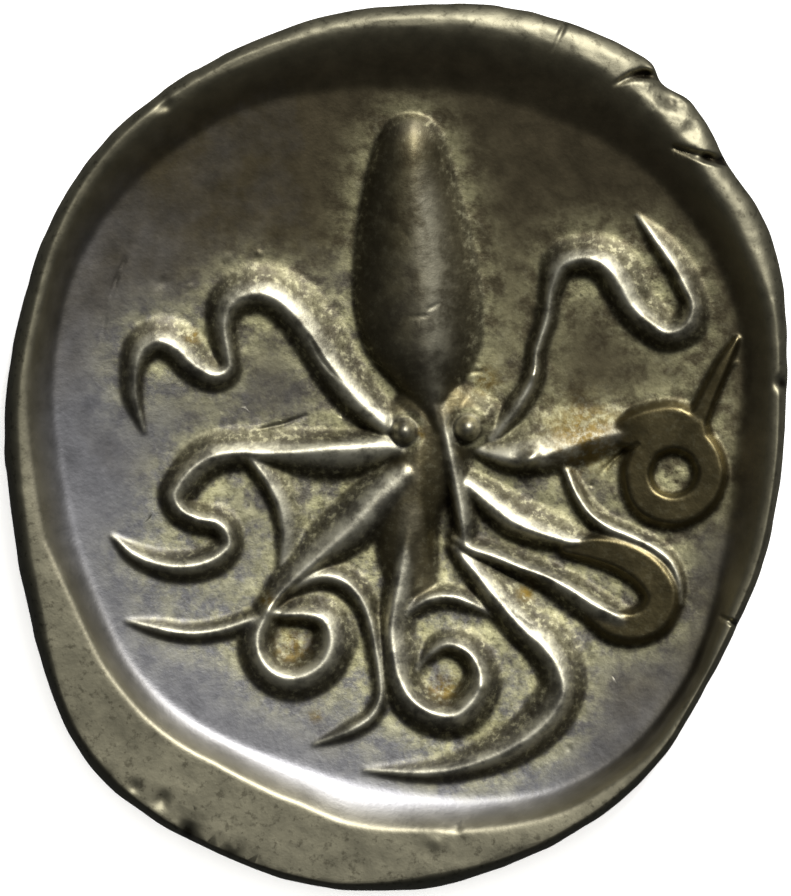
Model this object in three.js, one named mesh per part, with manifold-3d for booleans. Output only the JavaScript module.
// A small ancient silver coin, one struck piece of metal, lying on its worn obverse.
// The reverse looks up: an octopus in the hollow that the round punch left in a thick flan.
// Millimetres. +Z is up, +Y points along the octopus's body to its tip, +X to the right.
// The origin is under the middle of the coin, on the surface that it lies on.

import * as THREE from "three";
import { mergeVertices } from "three/addons/utils/BufferGeometryUtils.js";
import Module from "manifold-3d";

// Heights above the surface that the coin lies on
const RIM_HEIGHT = 1.16;
const FOOT_HEIGHT = 0.74;
const FIELD_HEIGHT = 0.6;
const EDGE_HEIGHT = 0.5;
const OBVERSE_FIELD_HEIGHT = 0.18;
const OBVERSE_EDGE_HEIGHT = 0.34;
const CREST_WIDTH = 0.1;

// Relief, above the dished field
const MANTLE_RISE = 0.46;
const ARM_RISE = 0.34;
const WEB_RISE = 0.22;
const EYE_RISE = 0.4;
const BURIED = 0.1;

// Steps of the faceted surfaces
const BEARINGS = 72;
const ARM_STEP = 0.24;

// The flan's widest line, as X and Y, clockwise from the top. The pairs of close points are the
// two cracks that the blow opened in the upper right of the edge.
const FLAN = [
  [0.55, 6.0], [1.7, 5.92], [2.9, 5.52], [3.45, 5.2], [3.6, 4.93], [4.0, 4.66],
  [4.44, 3.93], [4.52, 3.78], [5.0, 3.05], [5.24, 2.2], [5.29, 0.7], [5.21, -0.4],
  [4.98, -1.52], [4.61, -2.43], [4.1, -3.4], [3.49, -4.34], [2.62, -5.08], [1.68, -5.58],
  [0.4, -5.95], [-1.12, -5.92], [-2.63, -5.38], [-3.85, -4.6], [-4.36, -3.95],
  [-4.79, -2.86], [-5.16, -1.2], [-5.29, 0.5], [-5.06, 1.85], [-4.63, 3.13],
  [-3.91, 4.17], [-2.9, 4.99], [-1.82, 5.53], [-0.75, 5.88],
];

// The foot of the punched wall, where the dished field begins
const FOOT = [
  [0.0, 4.9], [1.2, 4.8], [2.3, 4.42], [3.2, 3.95], [3.9, 3.25], [4.45, 2.3], [4.7, 1.2],
  [4.58, 0.0], [4.42, -1.5], [4.0, -3.1], [3.1, -4.15], [2.1, -4.65], [1.2, -4.85],
  [0.2, -4.8], [-1.1, -4.58], [-2.4, -3.95], [-3.3, -2.95], [-4.1, -1.6], [-4.55, -0.2],
  [-4.62, 1.0], [-4.42, 2.2], [-3.95, 3.1], [-3.2, 3.92], [-2.1, 4.6], [-1.1, 4.86],
];

// Width of the slope from the flan's widest line in to the crest of the rim, by bearing in
// degrees anticlockwise from +X
const SLOPE_WIDTHS = [
  [0, 0.13], [15, 0.16], [30, 0.3], [55, 0.38], [75, 0.34], [90, 0.27], [110, 0.2],
  [135, 0.15], [160, 0.2], [180, 0.24], [205, 0.23], [222, 0.12], [250, 0.12], [262, 0.1],
  [275, 0.2], [290, 0.15], [310, 0.1], [340, 0.11], [360, 0.13],
];

// Width of the flat ledge that the off-centre punch left between the crest and its wall
const LEDGE_WIDTHS = [
  [0, 0], [170, 0], [195, 0.12], [208, 0.4], [222, 0.72], [240, 0.9], [255, 0.85],
  [268, 0.62], [280, 0.4], [295, 0.12], [310, 0], [360, 0],
];

// The eight arms and their side shoots. Each number triple is X, Y and the half width there,
// in millimetres, along the crest from the head to the tip.
const ARMS = {
  wave_left: [
    [-0.1, 0.3, 0.27], [-0.5, 0.72, 0.27], [-0.85, 1.12, 0.28], [-1.15, 1.56, 0.29],
    [-1.46, 1.93, 0.3], [-1.85, 2.1, 0.3], [-2.2, 2.0, 0.27], [-2.36, 1.7, 0.23], [-2.31, 1.33, 0.2],
    [-2.37, 1.08, 0.2], [-2.58, 1.04, 0.22], [-2.82, 1.24, 0.23], [-3.04, 1.43, 0.23],
    [-3.28, 1.45, 0.22], [-3.48, 1.24, 0.19], [-3.56, 0.88, 0.14], [-3.42, 0.2, 0.03],
  ],
  scroll: [
    [0.05, -0.05, 0.26], [-0.5, -0.12, 0.36], [-1.0, -0.14, 0.38], [-1.5, -0.12, 0.32],
    [-2.0, -0.08, 0.3], [-2.45, -0.12, 0.28], [-2.8, -0.32, 0.27], [-2.97, -0.65, 0.26],
    [-2.84, -0.92, 0.26], [-2.5, -1.0, 0.26], [-2.27, -1.13, 0.24], [-2.24, -1.38, 0.23],
    [-2.47, -1.56, 0.25], [-2.85, -1.62, 0.24], [-3.25, -1.53, 0.2], [-3.82, -1.2, 0.03],
  ],
  spur: [
    [-1.85, -0.12, 0.2], [-1.72, -0.48, 0.2], [-1.56, -0.8, 0.17], [-1.47, -1.25, 0.13],
    [-1.52, -1.68, 0.03],
  ],
  lasso: [
    [0.1, -0.45, 0.38], [-0.3, -0.85, 0.4], [-0.65, -1.25, 0.36], [-1.0, -1.55, 0.28],
    [-1.35, -1.84, 0.2], [-1.65, -2.1, 0.2], [-1.84, -2.4, 0.25], [-1.86, -2.7, 0.29],
    [-1.7, -2.97, 0.33], [-1.38, -3.08, 0.36], [-1.07, -2.96, 0.32], [-0.9, -2.66, 0.26],
    [-1.0, -2.38, 0.24], [-1.3, -2.23, 0.22],
  ],
  lasso_tail: [
    [-1.15, -2.24, 0.18], [-1.72, -2.2, 0.19], [-2.1, -2.37, 0.18], [-2.6, -2.48, 0.17],
    [-3.1, -2.47, 0.13], [-3.6, -2.35, 0.03],
  ],
  arch: [
    [-1.6, -2.05, 0.1], [-1.3, -1.83, 0.15], [-0.95, -1.71, 0.19], [-0.62, -1.86, 0.21],
    [-0.4, -2.2, 0.19], [-0.29, -2.75, 0.17], [-0.23, -3.3, 0.16], [-0.45, -3.75, 0.14],
    [-1.08, -3.97, 0.03],
  ],
  curl: [
    [0.2, -0.9, 0.3], [0.1, -1.5, 0.3], [0.0, -2.1, 0.26], [-0.04, -2.55, 0.25],
    [0.03, -3.05, 0.28], [0.22, -3.42, 0.33], [0.6, -3.63, 0.36], [0.95, -3.5, 0.34],
    [1.14, -3.15, 0.29], [1.05, -2.82, 0.25], [0.78, -2.65, 0.22], [0.5, -2.75, 0.15],
    [0.22, -3.0, 0.03],
  ],
  lip: [
    [0.1, -2.45, 0.05], [0.22, -2.15, 0.12], [0.45, -1.99, 0.15], [0.75, -1.98, 0.15],
    [1.05, -2.1, 0.12], [1.3, -2.2, 0.05],
  ],
  sweep: [
    [0.7, -1.4, 0.2], [1.05, -1.75, 0.28], [1.4, -2.08, 0.33], [1.75, -2.4, 0.36],
    [2.05, -2.7, 0.37], [2.24, -3.05, 0.35], [2.18, -3.45, 0.33], [1.9, -3.82, 0.32],
    [1.45, -4.1, 0.29], [1.0, -4.28, 0.24], [0.4, -4.38, 0.16], [-0.42, -4.36, 0.03],
  ],
  strap: [
    [0.7, 0.0, 0.12], [0.86, -0.55, 0.18], [0.88, -1.0, 0.19], [1.0, -1.36, 0.18],
    [1.6, -1.6, 0.2], [2.1, -1.84, 0.24], [2.5, -2.1, 0.27], [2.9, -2.32, 0.29],
    [3.28, -2.36, 0.27], [3.55, -2.12, 0.26], [3.55, -1.76, 0.26], [3.22, -1.52, 0.26],
    [2.8, -1.38, 0.22], [2.4, -1.42, 0.1],
  ],
  blade: [
    [1.0, -0.35, 0.2], [1.35, -0.68, 0.28], [1.7, -0.92, 0.31], [2.05, -1.07, 0.31],
    [2.35, -1.14, 0.26], [2.66, -1.22, 0.1],
  ],
  edge: [
    [2.3, -0.35, 0.1], [2.46, -0.64, 0.13], [2.72, -0.97, 0.13], [3.05, -1.17, 0.13],
    [3.45, -1.38, 0.15], [3.72, -1.62, 0.15], [3.82, -1.95, 0.12], [3.72, -2.3, 0.08],
  ],
  wave_right: [
    [1.3, 0.1, 0.16], [1.68, 0.7, 0.15], [1.86, 1.2, 0.15], [2.0, 1.7, 0.17],
    [2.12, 2.12, 0.2], [2.36, 2.45, 0.25], [2.7, 2.53, 0.28], [2.98, 2.3, 0.28],
    [3.15, 1.95, 0.27], [3.35, 1.65, 0.27], [3.65, 1.5, 0.27], [3.9, 1.68, 0.24],
    [3.92, 2.05, 0.22], [3.72, 2.45, 0.2], [3.5, 2.8, 0.15], [3.26, 3.16, 0.03],
  ],
  broad: [
    [1.05, -0.12, 0.2], [1.5, -0.1, 0.3], [2.0, 0.0, 0.4], [2.5, 0.05, 0.42],
    [3.0, 0.15, 0.38], [3.5, 0.28, 0.36], [3.95, 0.22, 0.3],
  ],
  ring: [
    [3.4, 0.02, 0.17], [3.75, 0.1, 0.21], [4.08, 0.0, 0.21], [4.25, -0.35, 0.21],
    [4.1, -0.7, 0.21], [3.75, -0.86, 0.22], [3.4, -0.7, 0.22], [3.27, -0.35, 0.21],
    [3.4, -0.05, 0.17],
  ],
  stalk: [
    [4.0, 0.3, 0.18], [4.22, 0.72, 0.15], [4.42, 1.12, 0.12], [4.6, 1.47, 0.06],
  ],
};

// The mantle, from its tip down to the neck, and the web of skin that joins the arms below it
const MANTLE = [
  [0.25, 4.47, 0.12], [0.24, 4.2, 0.42], [0.22, 3.7, 0.62], [0.24, 3.1, 0.78],
  [0.26, 2.5, 0.88], [0.29, 1.9, 0.92], [0.32, 1.3, 0.82], [0.36, 0.75, 0.5],
  [0.4, 0.35, 0.34],
];
const WEB = [
  [0.42, 0.85, 0.4], [0.5, 0.35, 0.75], [0.36, -0.1, 0.52], [0.18, -0.6, 0.42],
  [0.15, -1.2, 0.42], [0.22, -1.8, 0.35],
];
const EYES = [
  [0.13, 0.22, 0.17],
  [0.96, 0.3, 0.19],
];

// Cracks and chips in the edge: X, Y, bearing of the cut, length, width, depth below the rim
const CHIPS = [
  [3.5, 5.0, 20, 0.9, 0.14, 0.4],
  [4.42, 3.9, 0, 0.8, 0.12, 0.45],
  [-2.78, -5.2, 245, 0.4, 0.45, 0.35],
];

// The worn head on the obverse, which the coin rests on: the outline of a profile looking to
// +X, seen from above through the coin
const HEAD = [
  [1.9, 2.3], [2.25, 1.5], [2.45, 1.1], [2.9, 0.35], [2.6, 0.05], [2.65, -0.25],
  [2.5, -0.45], [2.6, -0.75], [2.4, -1.35], [1.7, -1.75], [1.15, -2.2], [1.3, -3.3],
  [-0.9, -3.6], [-1.0, -2.6], [-2.1, -1.9], [-3.0, -0.4], [-2.7, 1.5], [-1.3, 2.9],
  [0.6, 3.2],
];
const HEAD_BEVEL = 0.12;

const wasm = await Module();
wasm.setup();

// A closed three.js geometry as a solid that can be joined and cut
function solidOf(geometry) {
  const bare = geometry.clone();
  bare.deleteAttribute("normal");
  bare.deleteAttribute("uv");
  const merged = mergeVertices(bare, 1e-4);
  return new wasm.Manifold(
    new wasm.Mesh({
      numProp: 3,
      vertProperties: new Float32Array(merged.attributes.position.array),
      triVerts: new Uint32Array(merged.index.array),
    }),
  );
}

// The joined solid as a three.js geometry
function geometryOf(solid) {
  const mesh = solid.getMesh();
  const positions = new Float32Array(mesh.numVert * 3);
  for (let i = 0; i < mesh.numVert; i++) {
    const from = i * mesh.numProp;
    positions.set(mesh.vertProperties.subarray(from, from + 3), i * 3);
  }
  return new THREE.BufferGeometry()
    .setAttribute("position", new THREE.BufferAttribute(positions, 3))
    .setIndex(new THREE.BufferAttribute(new Uint32Array(mesh.triVerts), 1));
}

// The distance from the middle to a closed smooth line, as a function of the bearing in radians
function radiusOf(points) {
  const line = new THREE.CatmullRomCurve3(
    points.map(([x, y]) => new THREE.Vector3(x, y, 0)),
    true,
    "centripetal",
  );
  const spots = line
    .getPoints(points.length * 12)
    .slice(0, -1)
    .map((p) => [Math.atan2(p.y, p.x), Math.hypot(p.x, p.y)])
    .sort((a, b) => a[0] - b[0]);
  const first = spots[0];
  const last = spots[spots.length - 1];
  spots.unshift([last[0] - 2 * Math.PI, last[1]]);
  spots.push([first[0] + 2 * Math.PI, first[1]]);
  return (bearing) => between(spots, Math.atan2(Math.sin(bearing), Math.cos(bearing)));
}

// The value at a place along a list of [place, value] pairs, straight between them
function between(pairs, place) {
  const next = Math.max(1, pairs.findIndex(([p]) => p >= place));
  const [p0, v0] = pairs[next - 1];
  const [p1, v1] = pairs[next];
  return v0 + ((v1 - v0) * (place - p0)) / (p1 - p0);
}

const degrees = (bearing) => (THREE.MathUtils.radToDeg(bearing) + 360) % 360;
const flanRadius = radiusOf(FLAN);
const footRadius = radiusOf(FOOT);
const slopeWidth = (bearing) => between(SLOPE_WIDTHS, degrees(bearing));
const ledgeWidth = (bearing) => between(LEDGE_WIDTHS, degrees(bearing));

// Height of the dished field, without its relief
function fieldHeight(x, y) {
  const share = Math.hypot(x, y) / footRadius(Math.atan2(y, x));
  return FIELD_HEIGHT + (FOOT_HEIGHT - FIELD_HEIGHT) * share ** 2;
}

// Radius of the rim's crest, which doesn't follow the small steps of the cracked edge
function crestRadius(bearing) {
  const around = [-10, -5, 0, 5, 10].map((a) => flanRadius(bearing + THREE.MathUtils.degToRad(a)));
  const smooth = around.reduce((sum, radius) => sum + radius, 0) / around.length;
  return Math.min(smooth, flanRadius(bearing)) - slopeWidth(bearing);
}

// The flan is a turned profile whose rings follow the irregular edge. Each ring is a radius
// and a height, from the middle of the obverse round the edge to the middle of the reverse.
const RINGS = [
  () => [0, OBVERSE_FIELD_HEIGHT],
  (b) => [flanRadius(b) * 0.6, OBVERSE_FIELD_HEIGHT],
  (b) => [flanRadius(b) * 0.88, (OBVERSE_FIELD_HEIGHT + OBVERSE_EDGE_HEIGHT) / 2],
  (b) => [flanRadius(b) * 0.965, OBVERSE_EDGE_HEIGHT],
  (b) => [flanRadius(b), EDGE_HEIGHT],
  (b) => [
    THREE.MathUtils.lerp(flanRadius(b), crestRadius(b), 0.2),
    THREE.MathUtils.lerp(EDGE_HEIGHT, RIM_HEIGHT, 0.6),
  ],
  (b) => [THREE.MathUtils.lerp(flanRadius(b), crestRadius(b), 0.7), RIM_HEIGHT - 0.06],
  (b) => [crestRadius(b) - CREST_WIDTH / 2, RIM_HEIGHT],
  (b) => [crestRadius(b) - ledgeWidth(b) - CREST_WIDTH, RIM_HEIGHT - 0.03],
  (b) => [
    THREE.MathUtils.lerp(crestRadius(b) - ledgeWidth(b) - CREST_WIDTH, footRadius(b), 0.5),
    THREE.MathUtils.lerp(RIM_HEIGHT, FOOT_HEIGHT, 0.5),
  ],
  (b) => [footRadius(b), FOOT_HEIGHT],
  ...[0.86, 0.66, 0.4].map((share) => (b) => {
    const radius = footRadius(b) * share;
    return [radius, fieldHeight(radius * Math.cos(b), radius * Math.sin(b))];
  }),
  () => [0, FIELD_HEIGHT],
];

function flan() {
  const last = RINGS.length - 1;
  const profile = RINGS.map((_, i) => new THREE.Vector2(i === 0 || i === last ? 0 : 1, i));
  const geometry = new THREE.LatheGeometry(profile, BEARINGS);
  const place = geometry.attributes.position;
  for (let i = 0; i < place.count; i++) {
    const ring = Math.round(place.getY(i));
    const bearing = Math.atan2(-place.getZ(i), place.getX(i));
    const [radius, height] = RINGS[ring](bearing);
    place.setXYZ(i, radius * Math.cos(bearing), radius * Math.sin(bearing), height);
  }
  return solidOf(geometry);
}

// The section of a raised arm: across in half widths, up in crest heights. The two points
// below the field are sunk in the metal.
const ROUND_TOP = [
  [0, 1], [0.5, 0.74], [0.88, 0.24], [1.05, -1], [-1.05, -1], [-0.88, 0.24], [-0.5, 0.74],
];
const FLAT_TOP = [
  [0, 0.96], [0.62, 0.92], [0.92, 0.3], [1.05, -1], [-1.05, -1], [-0.92, 0.3], [-0.62, 0.92],
];

// A raised arm: a closed cylinder drawn along the crest line, as wide as the third number
// says, and lower where it is narrower
function raised(points, rise, section = ROUND_TOP) {
  const line = new THREE.CatmullRomCurve3(
    points.map(([x, y, half]) => new THREE.Vector3(x, y, half)),
    false,
    "centripetal",
  );
  const widest = Math.max(...points.map((p) => p[2]));
  const steps = Math.max(4, Math.round(line.getLength() / ARM_STEP));
  const geometry = new THREE.CylinderGeometry(1, 1, 1, section.length, steps);
  const place = geometry.attributes.position;
  for (let i = 0; i < place.count; i++) {
    const along = THREE.MathUtils.clamp(0.5 - place.getY(i), 0, 1);
    const spot = line.getPointAt(along);
    const heading = line.getTangentAt(along);
    const sideways = new THREE.Vector2(-heading.y, heading.x).normalize();
    const half = Math.max(spot.z, 0.02);
    const turn = Math.atan2(place.getX(i), place.getZ(i));
    const corner = Math.round((turn / (2 * Math.PI)) * section.length + section.length);
    const middle = Math.hypot(place.getX(i), place.getZ(i)) < 0.5;
    const [across, up] = middle ? [0, 0] : section[corner % section.length];
    const x = spot.x + sideways.x * across * half;
    const y = spot.y + sideways.y * across * half;
    const crest = rise * Math.sqrt(half / widest);
    place.setXYZ(i, x, y, fieldHeight(x, y) + (up > 0 ? up * crest : up * BURIED));
  }
  return solidOf(geometry);
}

function eye([x, y, radius]) {
  const ball = new THREE.SphereGeometry(1, 10, 8);
  ball.rotateX(Math.PI / 2);
  ball.scale(radius, radius, EYE_RISE);
  ball.translate(x, y, fieldHeight(x, y));
  return solidOf(ball);
}

function chip([x, y, bearing, length, width, depth]) {
  const wedge = new THREE.CylinderGeometry(width, 0.02, depth * 2, 4, 1);
  wedge.rotateY(Math.PI / 4);
  wedge.rotateX(Math.PI / 2);
  wedge.scale(length / width / Math.SQRT2, 1 / Math.SQRT2, 1);
  wedge.rotateZ(THREE.MathUtils.degToRad(bearing));
  wedge.translate(x, y, RIM_HEIGHT);
  return solidOf(wedge);
}

// The head stands proud of the obverse and is worn flat where the coin rests
function head() {
  const line = new THREE.CatmullRomCurve3(
    HEAD.map(([x, y]) => new THREE.Vector3(x, y, 0)),
    true,
    "centripetal",
  );
  const outline = line.getPoints(HEAD.length * 3).slice(0, -1);
  const shape = new THREE.Shape(outline.map((p) => new THREE.Vector2(p.x, p.y)));
  const plate = new THREE.ExtrudeGeometry(shape, {
    depth: FIELD_HEIGHT / 2,
    bevelThickness: HEAD_BEVEL,
    bevelSize: HEAD_BEVEL,
    bevelSegments: 1,
    steps: 1,
  });
  plate.translate(0, 0, HEAD_BEVEL);
  return solidOf(plate);
}

let coin = flan().add(head());
coin = coin.add(raised(MANTLE, MANTLE_RISE));
coin = coin.add(raised(WEB, WEB_RISE, FLAT_TOP));
for (const [name, points] of Object.entries(ARMS)) {
  const worn = ["ring", "broad", "strap"].includes(name);
  coin = coin.add(raised(points, ARM_RISE, worn ? FLAT_TOP : ROUND_TOP));
}
for (const place of EYES) coin = coin.add(eye(place));
for (const place of CHIPS) coin = coin.subtract(chip(place));

const silver = new THREE.MeshStandardMaterial({
  color: 0x8f887a,
  roughness: 0.45,
  metalness: 1,
});
const mesh = new THREE.Mesh(geometryOf(coin), silver);
mesh.name = "coin";

const group = new THREE.Group();
group.add(mesh);

export default group;
